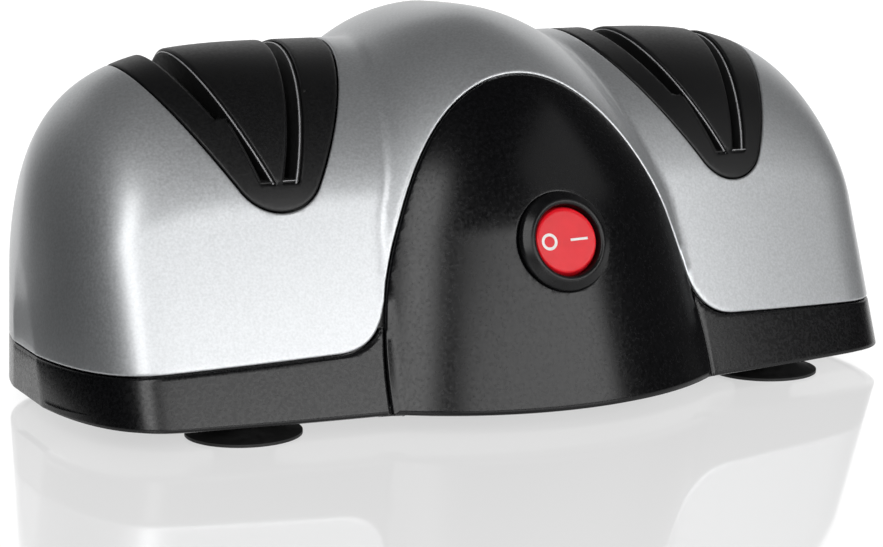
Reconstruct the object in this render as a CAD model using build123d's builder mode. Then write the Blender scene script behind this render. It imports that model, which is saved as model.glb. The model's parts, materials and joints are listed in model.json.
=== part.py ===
# Two-stage electric knife sharpener: two slotted pods either side of a domed motor bay.
# Millimetres, +Z up, front towards -Y, origin on the counter under the middle of the base.
import os
from math import cos, radians, sin, tan

from build123d import *

os.makedirs("parts", exist_ok=True)

# Casing: pods along X, dome about Z
half_length = 113.0
base_height = 5.4
pod_crest = 86.4
pod_front = 57.7
pod_rear = 54.0
pod_bow_radius = 520.0
front_lean = 20.0
rear_lean = 7.0
crest_offset = 5.0
corner_start = 88.0
corner_power = 3.4
rear_corner_power = 2.5
crown_start = 40.0
crown_power = 3.5
shoulder_share = 0.58
side_pull = 0.18
crest_pull = 0.43
pod_sections = 18
end_angle = 84.0
dome_radius = 70.5
dome_lean = 18.0
dome_shoulder = 45.0
dome_crest = 95.0
dome_side_pull = 12.0
dome_crest_pull = 34.0
wall = 2.2
seam = 0.3
lip = 1.4
lip_width = 3.0

# Skirt of the base, front panel and slot inserts, as outlines seen from the front
skirt_middle = 19.4
skirt_end = 17.6
panel_half_width = 44.6
panel_top = 79.6
pod_axis = 61.7
insert_tip = 50.7
insert_tip_radius = 11.0
insert_flare = 29.4
slot_lean = 21.5
slot_bottom = 57.0
slot_width = 4.0
island_width = 1.6
guide_wall = 1.4
guide_depth = 20.0

# Base
floor = 2.5
post_radius = 4.5
screw_radius = 1.5
screw_clearance = 0.15
screw_head_radius = 3.0
screw_head = 2.2
end_post_x = 92.0
end_post_front = 26.0
end_post_rear = 28.0
rear_post_x = 34.0
rear_post_y = 44.0
post_top = 72.0
screw_grip = 14.0

# Suction feet
foot_x = 72.1
foot_y = 36.5
cup_radius = 13.6
cup_lip = 2.4
cup_rim = 0.7
cup_hollow = 1.8
foot_neck = 7.0
foot_shank = 3.4
foot_bulb = 4.8
foot_bulb_height = 3.0
fit_clearance = 0.1

# Round rocker switch
switch_height = 42.5
flange_radius = 11.7
flange_seat = 1.1
flange_lift = 1.5
switch_body_radius = 9.9
switch_depth = 17.0
rocker_radius = 8.7
rocker_gap = 0.3
rocker_pivot = 2.6
rocker_face = 3.2
rocker_tail = 5.0
rocker_tilt = 8.0
pin_radius = 1.0
pin_half_length = 9.5
running_clearance = 0.04
tab_width = 4.8
tab_thickness = 0.8
tab_length = 8.0
tab_offset = 5.0

# Motor, on a shaft along X
shaft_y = 6.0
shaft_z = 36.0
shaft_radius = 3.0
shaft_half_length = 71.5
stack_half = 14.0
stack_half_width = 24.0
stack_bottom = 16.0
stack_top = 73.0
leg_width = 11.0
core_height = 11.0
window_height = 11.0
rotor_radius = 14.0
air_gap = 0.4
pole_slit = 1.2
rotor_ring = 3.0
rotor_ring_radius = 12.5
bobbin_wall = 1.0
winding_build = 6.0
bracket_inner = 24.4
bracket_plate = 1.6
bracket_half_width = 21.0
bracket_top = 51.0
bracket_foot = 10.0
bolt_y = 18.5
bolt_low = 22.5
bolt_high = 46.5
bolt_post = 4.0
bolt_radius = 2.0
bolt_head = 2.5
bolt_head_radius = 3.4
bearing_radius = 6.0
bearing_half = 4.5
bearing_middle = 24.5
bearing_boss = 8.6
grommet = 1.5
grommet_radius = 4.2
foot_boss = 2.0
foot_hole_y = 14.0
thrust_washer = 1.0
thrust_washer_radius = 5.5
thrust_gap = 0.4
fan_start = 31.5
fan_width = 7.0
fan_radius = 17.0
fan_hub_radius = 6.0
fan_blades = 7
fan_blade = 1.4

# Grinding wheels
wheel_radius = 26.0
wheel_width = 3.0
wheel_rim = 6.0
wheel_relief = 0.5
spigot_radius = 5.0
hub_flange = 2.0
hub_flange_radius = 11.0
hub_radius = 7.0
hub_start = 48.0
clamp_washer = 1.6
clamp_washer_radius = 10.0
nut_across_flats = 10.0
nut_height = 5.0

# Bay walls, filings magnets, cord entry
baffle_x = 42.0
baffle = 1.5
baffle_half_width = 38.0
baffle_top = 58.0
baffle_hole = 9.0
magnet_length = 24.0
magnet_width = 12.0
magnet_height = 3.0
gland_height = 14.2
gland_radius = 4.6
gland_bore = 3.4
gland_outer = 70.0
gland_length = 12.0
gland_collar = 5.8
gland_collar_width = 2.0
block_length = 26.0
block_width = 10.0
block_height = 9.0
block_y = 47.0
lead_radius = 1.0
lead_bend = 2.4
lead_room = 6.5
lead_side = 2.8
lead_terminal_x = 6.5
lead_low = 12.4
lead_middle = 32.0
lead_high = 60.0
lead_lap = 20.0

floor_top = base_height + floor
lip_depth = wall + seam + lip
wheel_start = pod_axis - wheel_width / 2
prism_reach = 2 * half_length
stack_core = stack_top - core_height
flare_slope = tan(radians(insert_flare))
slot_slope = tan(radians(slot_lean))


def pod_arch(x, inset):
    # Section of a pod at x: leaning sides, then two curves that meet level at the crest.
    reach = half_length - inset
    plan_run = max(0.0, (abs(x) - corner_start) / (reach - corner_start))
    crown_run = max(0.0, (abs(x) - crown_start) / (reach - crown_start))
    plan_fall = (1 - plan_run**corner_power) ** 0.5
    rear_fall = (1 - plan_run**rear_corner_power) ** 0.5
    crown_fall = (1 - crown_run**crown_power) ** (1 / crown_power)
    bow = x**2 / (2 * pod_bow_radius)
    front = (pod_front - bow - inset / cos(radians(front_lean))) * plan_fall
    rear = (pod_rear - bow - inset / cos(radians(rear_lean))) * rear_fall
    height = (pod_crest - inset - base_height) * crown_fall
    rise = shoulder_share * height
    pull = side_pull * height
    crest = (crest_offset * plan_fall, base_height + height)
    front_foot = (-front, base_height)
    rear_foot = (rear, base_height)
    front_top = (rise * tan(radians(front_lean)) - front, base_height + rise)
    rear_top = (rear - rise * tan(radians(rear_lean)), base_height + rise)
    front_side = (
        front_top[0] + pull * sin(radians(front_lean)),
        front_top[1] + pull * cos(radians(front_lean)),
    )
    rear_side = (
        rear_top[0] - pull * sin(radians(rear_lean)),
        rear_top[1] + pull * cos(radians(rear_lean)),
    )
    front_crest = (crest[0] - crest_pull * (crest[0] - front_top[0]), crest[1])
    rear_crest = (crest[0] + crest_pull * (rear_top[0] - crest[0]), crest[1])
    front_curve = (front_top, front_side, front_crest, crest)
    rear_curve = (crest, rear_crest, rear_side, rear_top)
    return front_foot, front_curve, rear_curve, rear_foot


def pod_solid(inset):
    with BuildPart() as pods:
        for step in range(-pod_sections, pod_sections + 1):
            x = (half_length - inset) * sin(radians(end_angle * step / pod_sections))
            front_foot, front_curve, rear_curve, rear_foot = pod_arch(x, inset)
            with BuildSketch(Plane.YZ.offset(x)):
                with BuildLine():
                    Line(front_foot, front_curve[0])
                    Bezier(*front_curve)
                    Bezier(*rear_curve)
                    Line(rear_curve[3], rear_foot)
                    Line(rear_foot, front_foot)
                make_face()
        loft()
    return pods.part


def dome_solid(inset):
    across = inset * cos(radians(dome_lean))
    down = inset * sin(radians(dome_lean))
    foot = dome_radius - inset / cos(radians(dome_lean))
    shoulder_radius = dome_radius - (dome_shoulder - base_height) * tan(radians(dome_lean)) - across
    shoulder = (shoulder_radius, dome_shoulder - down)
    side = (
        shoulder[0] - dome_side_pull * sin(radians(dome_lean)),
        shoulder[1] + dome_side_pull * cos(radians(dome_lean)),
    )
    top = dome_crest - inset
    with BuildPart() as dome:
        with BuildSketch(Plane.XZ):
            with BuildLine():
                Line((0, base_height), (foot, base_height))
                Line((foot, base_height), shoulder)
                Bezier(shoulder, side, (dome_crest_pull, top), (0, top))
                Line((0, top), (0, base_height))
            make_face()
        revolve(axis=Axis.Z)
    return dome.part


def casing_solid(inset):
    with BuildPart() as casing:
        add(pods_at[inset])
        add(domes_at[inset])
    return casing.part


def skirt_prism(gap):
    # Everything below the top edge of the skirt, which falls slightly towards the ends.
    with BuildPart() as prism:
        with BuildSketch(Plane.XZ):
            Polygon(
                (-prism_reach, 0),
                (prism_reach, 0),
                (prism_reach, skirt_line(prism_reach) + gap),
                (panel_half_width, skirt_middle + gap),
                (-panel_half_width, skirt_middle + gap),
                (-prism_reach, skirt_line(prism_reach) + gap),
                align=None,
            )
        extrude(amount=prism_reach, both=True)
    return prism.part


def skirt_line(x):
    fall = (skirt_middle - skirt_end) / (half_length - panel_half_width)
    return skirt_middle - fall * max(0.0, abs(x) - panel_half_width)


def panel_prism(grow):
    # The panel's outline is a half ellipse seen from the front.
    with BuildPart() as prism:
        with BuildSketch(Plane.XZ):
            with Locations((0, base_height)):
                Ellipse(panel_half_width + grow, panel_top - base_height + grow)
        extrude(amount=prism_reach)
    return prism.part


def insert_prism(side, grow):
    # A rounded V seen from the front, carried right through the pod.
    radius = insert_tip_radius + grow
    middle = insert_tip + insert_tip_radius
    across = radius * cos(radians(insert_flare))
    low = middle - radius * sin(radians(insert_flare))
    high = dome_crest
    wide = across + (high - low) * flare_slope
    axis = side * pod_axis
    with BuildPart() as prism:
        with BuildSketch(Plane.XZ):
            with BuildLine():
                ThreePointArc((axis - across, low), (axis, middle - radius), (axis + across, low))
                Line((axis + across, low), (axis + wide, high))
                Line((axis + wide, high), (axis - wide, high))
                Line((axis - wide, high), (axis - across, low))
            make_face()
        extrude(amount=prism_reach, both=True)
    return prism.part


def leaning_slab(side, lean, near, far, bottom):
    # A slab between two planes that lean away from the pod's axis, measured at the slot's bottom.
    top = dome_crest
    low = lean * (bottom - slot_bottom) * slot_slope
    high = lean * (top - slot_bottom) * slot_slope
    axis = side * pod_axis
    with BuildPart() as slab:
        with BuildSketch(Plane.XZ):
            Polygon(
                (axis + lean * near + low, bottom),
                (axis + lean * far + low, bottom),
                (axis + lean * far + high, top),
                (axis + lean * near + high, top),
                align=None,
            )
        extrude(amount=prism_reach, both=True)
    return slab.part


def block_above(height):
    with BuildPart() as block:
        with Locations((0, 0, height)):
            Box(prism_reach, prism_reach, prism_reach, align=(Align.CENTER, Align.CENTER, Align.MIN))
    return block.part


def bench(name, builder):
    # Labels a finished piece and writes its file.
    builder.part.label = name
    export_step(builder.part, f"parts/{name}.step")


insets = (0.0, wall / 2, wall, wall + seam, lip_depth, lip_depth + seam)
pods_at = {inset: pod_solid(inset) for inset in insets}
domes_at = {inset: dome_solid(inset) for inset in insets}
casing_outer = casing_solid(0.0)
casing_middle = casing_solid(wall / 2)
casing_inner = casing_solid(wall)
above_floor = block_above(floor_top)

post_spots = [
    (-end_post_x, -end_post_front),
    (end_post_x, -end_post_front),
    (-end_post_x, end_post_rear),
    (end_post_x, end_post_rear),
    (-rear_post_x, rear_post_y),
    (rear_post_x, rear_post_y),
]
foot_spots = {
    "front_left": (-foot_x, -foot_y),
    "front_right": (foot_x, -foot_y),
    "rear_left": (-foot_x, foot_y),
    "rear_right": (foot_x, foot_y),
}
bolt_spots = [
    (shaft_y - bolt_y, bolt_low),
    (shaft_y + bolt_y, bolt_low),
    (shaft_y - bolt_y, bolt_high),
    (shaft_y + bolt_y, bolt_high),
]
bracket_outer = bracket_inner + bracket_plate
mount_x = bracket_outer + bracket_foot / 2
mount_spots = [(x, shaft_y + y) for x in (-mount_x, mount_x) for y in (-foot_hole_y, foot_hole_y)]
mount_boss_top = floor_top + foot_boss
bracket_bottom = mount_boss_top + grommet

# Housing posts, trimmed to the inside of the shell
with BuildPart() as housing_posts:
    for x, y in post_spots:
        with Locations((x, y, skirt_line(x) + seam)):
            Cylinder(
                post_radius,
                post_top - skirt_line(x),
                align=(Align.CENTER, Align.CENTER, Align.MIN),
            )
    add(casing_middle, mode=Mode.INTERSECT)

# Upper housing: painted shell with the panel and insert openings
openings = [panel_prism(seam / 2), insert_prism(-1, seam / 2), insert_prism(1, seam / 2)]
below_housing = skirt_prism(seam)
with BuildPart() as upper_housing:
    add(casing_outer)
    add(casing_inner, mode=Mode.SUBTRACT)
    add(below_housing, mode=Mode.SUBTRACT)
    for opening in openings:
        add(opening, mode=Mode.SUBTRACT)
    add(housing_posts.part)
    for x, y in post_spots:
        with Locations((x, y, skirt_line(x))):
            Cylinder(
                screw_radius + screw_clearance,
                screw_grip,
                align=(Align.CENTER, Align.CENTER, Align.MIN),
                mode=Mode.SUBTRACT,
            )
bench("upper_housing", upper_housing)

# Switch frame: X across, Y up the panel, Z out of the panel
switch_y = dome_radius - (switch_height - base_height) * tan(radians(dome_lean))
switch_plane = Plane(
    origin=(0, -switch_y, switch_height),
    x_dir=(1, 0, 0),
    z_dir=(0, -cos(radians(dome_lean)), sin(radians(dome_lean))),
)

# Front panel: dome skin inside the half ellipse, with a lip behind the housing's edge
panel_outline = panel_prism(-seam / 2)
panel_lip_outline = panel_prism(lip_width)
above_lip = block_above(floor_top + seam)
with BuildPart() as panel_lip:
    add(domes_at[wall + seam])
    add(domes_at[lip_depth], mode=Mode.SUBTRACT)
    add(panel_lip_outline, mode=Mode.INTERSECT)
    add(above_lip, mode=Mode.INTERSECT)
with BuildPart() as front_panel:
    add(domes_at[0.0])
    add(panel_outline, mode=Mode.INTERSECT)
    add(domes_at[lip_depth], mode=Mode.SUBTRACT)
    add(panel_lip.part)
    with BuildSketch(switch_plane.offset(-flange_seat)):
        Circle(flange_radius + fit_clearance)
    extrude(amount=switch_depth, mode=Mode.SUBTRACT)
    with BuildSketch(switch_plane):
        Circle(switch_body_radius + fit_clearance)
    extrude(amount=-switch_depth, mode=Mode.SUBTRACT)
bench("front_panel", front_panel)

# Base tray: floor, skirt, screw posts and motor bosses
panel_clearance = panel_prism(seam / 2)
with BuildPart() as panel_space:
    add(panel_clearance)
    add(domes_at[lip_depth + seam], mode=Mode.SUBTRACT)
with BuildPart() as tray_hollow:
    add(casing_inner)
    add(above_floor, mode=Mode.INTERSECT)
below_skirt = skirt_prism(0.0)
gland_plane = Plane.XZ.offset(gland_length - gland_outer)
with BuildPart() as base_tray:
    add(casing_outer)
    add(below_skirt, mode=Mode.INTERSECT)
    add(panel_space.part, mode=Mode.SUBTRACT)
    add(tray_hollow.part, mode=Mode.SUBTRACT)
    for x, y in post_spots:
        with Locations((x, y, base_height)):
            Cylinder(
                post_radius,
                skirt_line(x) - base_height,
                align=(Align.CENTER, Align.CENTER, Align.MIN),
            )
            Cylinder(
                screw_radius + screw_clearance,
                skirt_line(x) - base_height,
                align=(Align.CENTER, Align.CENTER, Align.MIN),
                mode=Mode.SUBTRACT,
            )
            Cylinder(
                screw_head_radius + screw_clearance,
                floor + screw_head,
                align=(Align.CENTER, Align.CENTER, Align.MIN),
                mode=Mode.SUBTRACT,
            )
    with Locations(*[(x, y, floor_top) for x, y in mount_spots]):
        Cylinder(post_radius, foot_boss, align=(Align.CENTER, Align.CENTER, Align.MIN))
    with Locations(*[(x, y, mount_boss_top) for x, y in mount_spots]):
        Cylinder(
            screw_radius + screw_clearance,
            foot_boss + floor / 2,
            align=(Align.CENTER, Align.CENTER, Align.MAX),
            mode=Mode.SUBTRACT,
        )
    with Locations(*[(x, y, base_height) for x, y in foot_spots.values()]):
        Cylinder(
            foot_shank + fit_clearance,
            floor,
            align=(Align.CENTER, Align.CENTER, Align.MIN),
            mode=Mode.SUBTRACT,
        )
    with BuildSketch(gland_plane):
        with Locations((0, gland_height)):
            Circle(gland_radius + fit_clearance)
    extrude(amount=-2 * gland_length, mode=Mode.SUBTRACT)
bench("base_tray", base_tray)


def slot_insert(side):
    # Pod skin inside the rounded V, with walls that guide the blade down both slots.
    lip_outline = insert_prism(side, lip_width)
    skin_outline = insert_prism(side, -seam / 2)
    near = island_width / 2
    far = near + slot_width
    guide_bottom = pod_crest - guide_depth
    slots = [leaning_slab(side, lean, near, far, slot_bottom) for lean in (-1, 1)]
    guides = [
        leaning_slab(side, lean, near - guide_wall, far + guide_wall, guide_bottom)
        for lean in (-1, 1)
    ]
    with BuildPart() as insert_lip:
        add(pods_at[wall + seam])
        add(pods_at[lip_depth], mode=Mode.SUBTRACT)
        add(lip_outline, mode=Mode.INTERSECT)
    with BuildPart() as guide_walls:
        for guide in guides:
            add(guide)
        add(pods_at[wall / 2], mode=Mode.INTERSECT)
    with BuildPart() as insert:
        add(pods_at[0.0])
        add(skin_outline, mode=Mode.INTERSECT)
        add(pods_at[lip_depth], mode=Mode.SUBTRACT)
        add(insert_lip.part)
        add(guide_walls.part)
        for slot in slots:
            add(slot, mode=Mode.SUBTRACT)
    return insert


bench("left_slot_insert", slot_insert(-1))
bench("right_slot_insert", slot_insert(1))


def suction_foot(x, y):
    # Rubber cup with a neck against the base and a bulb pulled through its hole.
    top = floor_top + fit_clearance
    with BuildPart() as foot:
        with BuildSketch(Plane.XZ):
            with BuildLine():
                Bezier((0, cup_hollow), ((cup_radius - cup_lip) / 2, cup_hollow), (cup_radius - cup_lip, 0))
                Line((cup_radius - cup_lip, 0), (cup_radius, 0))
                Line((cup_radius, 0), (cup_radius, cup_rim))
                Bezier((cup_radius, cup_rim), (foot_neck, base_height / 3), (foot_neck, base_height))
                Polyline(
                    (foot_neck, base_height),
                    (foot_shank, base_height),
                    (foot_shank, top),
                    (foot_bulb, top),
                    (foot_shank / 2, top + foot_bulb_height),
                    (0, top + foot_bulb_height),
                    (0, cup_hollow),
                )
            make_face()
        revolve(axis=Axis.Z)
    with BuildPart() as placed:
        with Locations((x, y)):
            add(foot.part)
    return placed


for spot, (x, y) in foot_spots.items():
    bench(f"{spot}_suction_foot", suction_foot(x, y))

# Rocker switch, drawn in the switch frame and then placed
rocker_bore = rocker_radius + rocker_gap
with BuildPart(switch_plane) as switch_housing:
    with Locations((0, 0, -flange_seat)):
        Cylinder(flange_radius, flange_seat + flange_lift, align=(Align.CENTER, Align.CENTER, Align.MIN))
    outward = Axis(switch_plane.origin, switch_plane.z_dir)
    chamfer(switch_housing.faces().sort_by(outward)[-1].edges(), flange_lift / 2)
    with Locations((0, 0, -switch_depth)):
        Cylinder(switch_body_radius, switch_depth, align=(Align.CENTER, Align.CENTER, Align.MIN))
    with Locations((0, 0, flange_lift)):
        Cylinder(
            rocker_bore,
            flange_lift + rocker_pivot + rocker_bore,
            align=(Align.CENTER, Align.CENTER, Align.MAX),
            mode=Mode.SUBTRACT,
        )
    with Locations(Location((0, 0, -rocker_pivot), (90, 0, 0))):
        Cylinder(pin_radius + running_clearance, 2 * pin_half_length + pin_radius, mode=Mode.SUBTRACT)
bench("switch_housing", switch_housing)

# The rocker is a ball about its pin, cut by a shallow V face, with its O side pressed in
rocker_plane = Plane(
    switch_plane.offset(-rocker_pivot).location
    * Location((0, 0, 0), (0, -rocker_tilt, 0))
)
with BuildPart(rocker_plane) as switch_rocker:
    Sphere(rocker_radius)
    with Locations((0, 0, -rocker_tail)):
        Box(
            2 * rocker_radius,
            2 * rocker_radius,
            rocker_radius,
            align=(Align.CENTER, Align.CENTER, Align.MAX),
            mode=Mode.SUBTRACT,
        )
    for turn in (-rocker_tilt, rocker_tilt):
        with Locations(Location((0, 0, rocker_face), (0, turn, 0))):
            Box(
                2 * rocker_radius,
                2 * rocker_radius,
                rocker_radius,
                align=(Align.MAX if turn > 0 else Align.MIN, Align.CENTER, Align.MIN),
                mode=Mode.SUBTRACT,
            )
    with Locations(Location((0, 0, 0), (90, 0, 0))):
        Cylinder(pin_radius + running_clearance, 2 * rocker_radius, mode=Mode.SUBTRACT)
bench("switch_rocker", switch_rocker)

with BuildPart(switch_plane) as rocker_pin:
    with Locations(Location((0, 0, -rocker_pivot), (90, 0, 0))):
        Cylinder(pin_radius, 2 * pin_half_length)
bench("rocker_pin", rocker_pin)

with BuildPart(switch_plane) as switch_terminals:
    with Locations((-tab_offset, 0, -switch_depth), (tab_offset, 0, -switch_depth)):
        Box(tab_thickness, tab_width, tab_length, align=(Align.CENTER, Align.CENTER, Align.MAX))
bench("switch_terminals", switch_terminals)

# Motor: lamination stack with the rotor low and the coil on its top core
with BuildPart() as stator_stack:
    with BuildSketch(Plane.YZ):
        with Locations((shaft_y, (stack_bottom + stack_top) / 2)):
            Rectangle(2 * stack_half_width, stack_top - stack_bottom)
        with Locations((shaft_y, stack_core - window_height / 2)):
            Rectangle(2 * (stack_half_width - leg_width), window_height, mode=Mode.SUBTRACT)
        with Locations((shaft_y, shaft_z)):
            Circle(rotor_radius + air_gap, mode=Mode.SUBTRACT)
        with Locations((shaft_y, (stack_bottom + stack_core) / 2)):
            Rectangle(pole_slit, stack_core - stack_bottom, mode=Mode.SUBTRACT)
        with Locations(*bolt_spots):
            Circle(bolt_radius + fit_clearance, mode=Mode.SUBTRACT)
    extrude(amount=stack_half, both=True)
bench("stator_stack", stator_stack)

bobbin_half = stack_half_width - leg_width - seam
tube_width = 2 * (stack_half + seam + bobbin_wall)
tube_height = core_height + 2 * (seam + bobbin_wall)
coil_width = tube_width + 2 * winding_build
coil_height = tube_height + 2 * winding_build
coil_plane = Plane.XZ.offset(-shaft_y)
core_level = stack_core + core_height / 2
with BuildPart() as coil_bobbin:
    with BuildSketch(coil_plane):
        with Locations((0, core_level)):
            Rectangle(coil_width, coil_height)
    extrude(amount=bobbin_half, both=True)
    with BuildSketch(coil_plane):
        with Locations((0, core_level)):
            Rectangle(coil_width, coil_height)
            Rectangle(tube_width, tube_height, mode=Mode.SUBTRACT)
    extrude(amount=bobbin_half - bobbin_wall, both=True, mode=Mode.SUBTRACT)
    with BuildSketch(coil_plane):
        with Locations((0, core_level)):
            Rectangle(tube_width - 2 * bobbin_wall, tube_height - 2 * bobbin_wall)
    extrude(amount=bobbin_half, both=True, mode=Mode.SUBTRACT)
bench("coil_bobbin", coil_bobbin)

with BuildPart() as field_winding:
    with BuildSketch(coil_plane):
        with Locations((0, core_level)):
            RectangleRounded(coil_width - seam, coil_height - seam, winding_build / 2)
            Rectangle(tube_width + seam, tube_height + seam, mode=Mode.SUBTRACT)
    extrude(amount=bobbin_half - bobbin_wall - fit_clearance, both=True)
bench("field_winding", field_winding)


def turned(rings):
    # Rings on the shaft, each as start, end, radius and bore along X.
    with BuildPart() as piece:
        for start, end, radius, bore in rings:
            with BuildSketch(Plane.YZ.offset(min(start, end))):
                with Locations((shaft_y, shaft_z)):
                    Circle(radius)
                    if bore:
                        Circle(bore, mode=Mode.SUBTRACT)
            extrude(amount=abs(end - start))
    return piece


shaft_bore = shaft_radius + running_clearance / 2
ring_end = stack_half + rotor_ring
bearing_face = bearing_middle - bearing_half
washer_end = bearing_face - thrust_gap
washer_start = washer_end - thrust_washer

bench("motor_shaft", turned([(-shaft_half_length, shaft_half_length, shaft_radius, 0)]))
bench(
    "rotor_core",
    turned(
        [
            (-stack_half, stack_half, rotor_radius, shaft_bore),
            (-ring_end, ring_end, rotor_ring_radius, shaft_bore),
        ]
    ),
)
bench(
    "thrust_washers",
    turned(
        [
            (-washer_end, -washer_start, thrust_washer_radius, shaft_bore),
            (washer_start, washer_end, thrust_washer_radius, shaft_bore),
        ]
    ),
)


def bearing_bracket(side):
    # Plate with a bearing boss, four posts against the stack and a foot on the base bosses.
    plate = Plane.YZ.offset(side * bracket_inner)
    plate_middle = (shaft_y, (bracket_bottom + bracket_top) / 2)
    with BuildPart() as bracket:
        with BuildSketch(plate):
            with Locations(plate_middle):
                Rectangle(2 * bracket_half_width, bracket_top - bracket_bottom)
        extrude(amount=side * bracket_plate)
        with BuildSketch(plate):
            with Locations(*bolt_spots):
                Circle(bolt_post)
        extrude(amount=-side * (bracket_inner - stack_half))
        with BuildSketch(Plane.YZ.offset(side * bearing_face)):
            with Locations((shaft_y, shaft_z)):
                Circle(bearing_boss)
        extrude(amount=side * 2 * bearing_half)
        with BuildSketch(Plane.XY.offset(bracket_bottom)):
            with Locations((side * (bracket_outer + bracket_foot / 2), shaft_y)):
                Rectangle(bracket_foot, 2 * bracket_half_width)
        extrude(amount=bracket_plate)
        with BuildSketch(Plane.YZ):
            with Locations((shaft_y, shaft_z)):
                Circle(bearing_radius)
            with Locations(*bolt_spots):
                Circle(bolt_radius + fit_clearance)
        extrude(amount=side * shaft_half_length, mode=Mode.SUBTRACT)
        with BuildSketch(Plane.XY.offset(bracket_bottom)):
            with Locations(*[spot for spot in mount_spots if spot[0] * side > 0]):
                Circle(screw_radius + screw_clearance)
        extrude(amount=bracket_plate, mode=Mode.SUBTRACT)
    return bracket


def wheel_nut(side, start):
    with BuildPart() as nut:
        with BuildSketch(Plane.YZ.offset(side * start)):
            with Locations((shaft_y, shaft_z)):
                RegularPolygon(nut_across_flats / 2, 6, major_radius=False)
                Circle(shaft_bore, mode=Mode.SUBTRACT)
        extrude(amount=side * nut_height)
    return nut


def bay_baffle(side):
    # Wall on the base floor that keeps filings out of the motor bay.
    hollow = pods_at[lip_depth + seam]
    with BuildPart() as wall_plate:
        with BuildSketch(Plane.YZ.offset(side * baffle_x)):
            with Locations((shaft_y, (floor_top + baffle_top) / 2)):
                RectangleRounded(2 * baffle_half_width, baffle_top - floor_top, baffle_hole / 2)
            with Locations((shaft_y, shaft_z)):
                Circle(baffle_hole, mode=Mode.SUBTRACT)
        extrude(amount=side * baffle)
        add(hollow, mode=Mode.INTERSECT)
    return wall_plate


wheel_end = wheel_start + wheel_width
washer_outer = wheel_end + clamp_washer
grit = {-1: "coarse_wheel", 1: "fine_wheel"}
for side, hand in ((-1, "left"), (1, "right")):
    bench(f"{hand}_bearing_bracket", bearing_bracket(side))
    bearing_ends = (side * bearing_face, side * (bearing_face + 2 * bearing_half))
    bearing_fit = (bearing_radius - running_clearance / 2, shaft_radius + running_clearance)
    bench(f"{hand}_sleeve_bearing", turned([bearing_ends + bearing_fit]))
    bench(
        f"{hand}_wheel_hub",
        turned(
            [
                (side * hub_start, side * (wheel_start - hub_flange), hub_radius, shaft_bore),
                (side * (wheel_start - hub_flange), side * wheel_start, hub_flange_radius, shaft_bore),
                (side * wheel_start, side * (wheel_end - fit_clearance), spigot_radius, shaft_bore),
            ]
        ),
    )
    wheel_bore = spigot_radius + running_clearance
    bench(
        grit[side],
        turned(
            [
                (side * wheel_start, side * wheel_end, wheel_radius, wheel_radius - wheel_rim),
                (
                    side * (wheel_start + wheel_relief),
                    side * (wheel_end - wheel_relief),
                    wheel_radius - wheel_rim,
                    hub_flange_radius,
                ),
                (side * wheel_start, side * wheel_end, hub_flange_radius, wheel_bore),
            ]
        ),
    )
    bench(
        f"{hand}_clamp_washer",
        turned([(side * wheel_end, side * washer_outer, clamp_washer_radius, shaft_bore)]),
    )
    bench(f"{hand}_wheel_nut", wheel_nut(side, washer_outer))
    bench(f"{hand}_bay_baffle", bay_baffle(side))

# Cooling fan on the right of the motor
with BuildPart() as cooling_fan:
    with BuildSketch(Plane.YZ.offset(fan_start)):
        with Locations((shaft_y, shaft_z)):
            Circle(fan_hub_radius)
            with PolarLocations(fan_radius / 2, fan_blades):
                Rectangle(fan_radius, fan_blade)
            Circle(shaft_bore, mode=Mode.SUBTRACT)
    extrude(amount=fan_width)
bench("cooling_fan", cooling_fan)

# Fasteners
with BuildPart() as motor_bolts:
    with BuildSketch(Plane.YZ):
        with Locations(*bolt_spots):
            Circle(bolt_radius)
    extrude(amount=bracket_outer + bolt_head, both=True)
    for side in (-1, 1):
        with BuildSketch(Plane.YZ.offset(side * bracket_outer)):
            with Locations(*bolt_spots):
                RegularPolygon(bolt_head_radius, 6)
        extrude(amount=side * bolt_head)
bench("motor_bolts", motor_bolts)

with BuildPart() as motor_grommets:
    with BuildSketch(Plane.XY.offset(mount_boss_top)):
        with Locations(*mount_spots):
            Circle(grommet_radius)
            Circle(screw_radius + screw_clearance, mode=Mode.SUBTRACT)
    extrude(amount=grommet)
bench("motor_grommets", motor_grommets)

mount_screw_top = bracket_bottom + bracket_plate
with BuildPart() as motor_mount_screws:
    with Locations(*[(x, y, mount_screw_top) for x, y in mount_spots]):
        Cylinder(screw_head_radius, screw_head, align=(Align.CENTER, Align.CENTER, Align.MIN))
        Cylinder(
            screw_radius,
            mount_screw_top - base_height - floor / 2 - seam,
            align=(Align.CENTER, Align.CENTER, Align.MAX),
        )
bench("motor_mount_screws", motor_mount_screws)

with BuildPart() as housing_screws:
    for x, y in post_spots:
        with Locations((x, y, base_height + floor)):
            Cylinder(screw_head_radius, screw_head, align=(Align.CENTER, Align.CENTER, Align.MIN))
        with Locations((x, y, base_height + floor + screw_head)):
            Cylinder(
                screw_radius,
                skirt_line(x) + screw_grip - base_height - floor - screw_head - seam,
                align=(Align.CENTER, Align.CENTER, Align.MIN),
            )
bench("housing_screws", housing_screws)

# Filings magnets under the wheels
with BuildPart() as filings_magnets:
    with Locations(*[(x, shaft_y - wheel_radius, floor_top) for x in (-pod_axis, pod_axis)]):
        Box(magnet_length, magnet_width, magnet_height, align=(Align.CENTER, Align.CENTER, Align.MIN))
bench("filings_magnets", filings_magnets)

# Cord entry at the rear: gland in the skirt and a terminal block behind it
with BuildPart() as cord_gland:
    with BuildSketch(Plane.XZ.offset(-gland_outer)):
        with Locations((0, gland_height)):
            Circle(gland_radius)
            Circle(gland_bore, mode=Mode.SUBTRACT)
    extrude(amount=gland_length)
    with BuildSketch(gland_plane):
        with Locations((0, gland_height)):
            Circle(gland_collar)
            Circle(gland_bore, mode=Mode.SUBTRACT)
    extrude(amount=-gland_collar_width)
bench("cord_gland", cord_gland)

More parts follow.
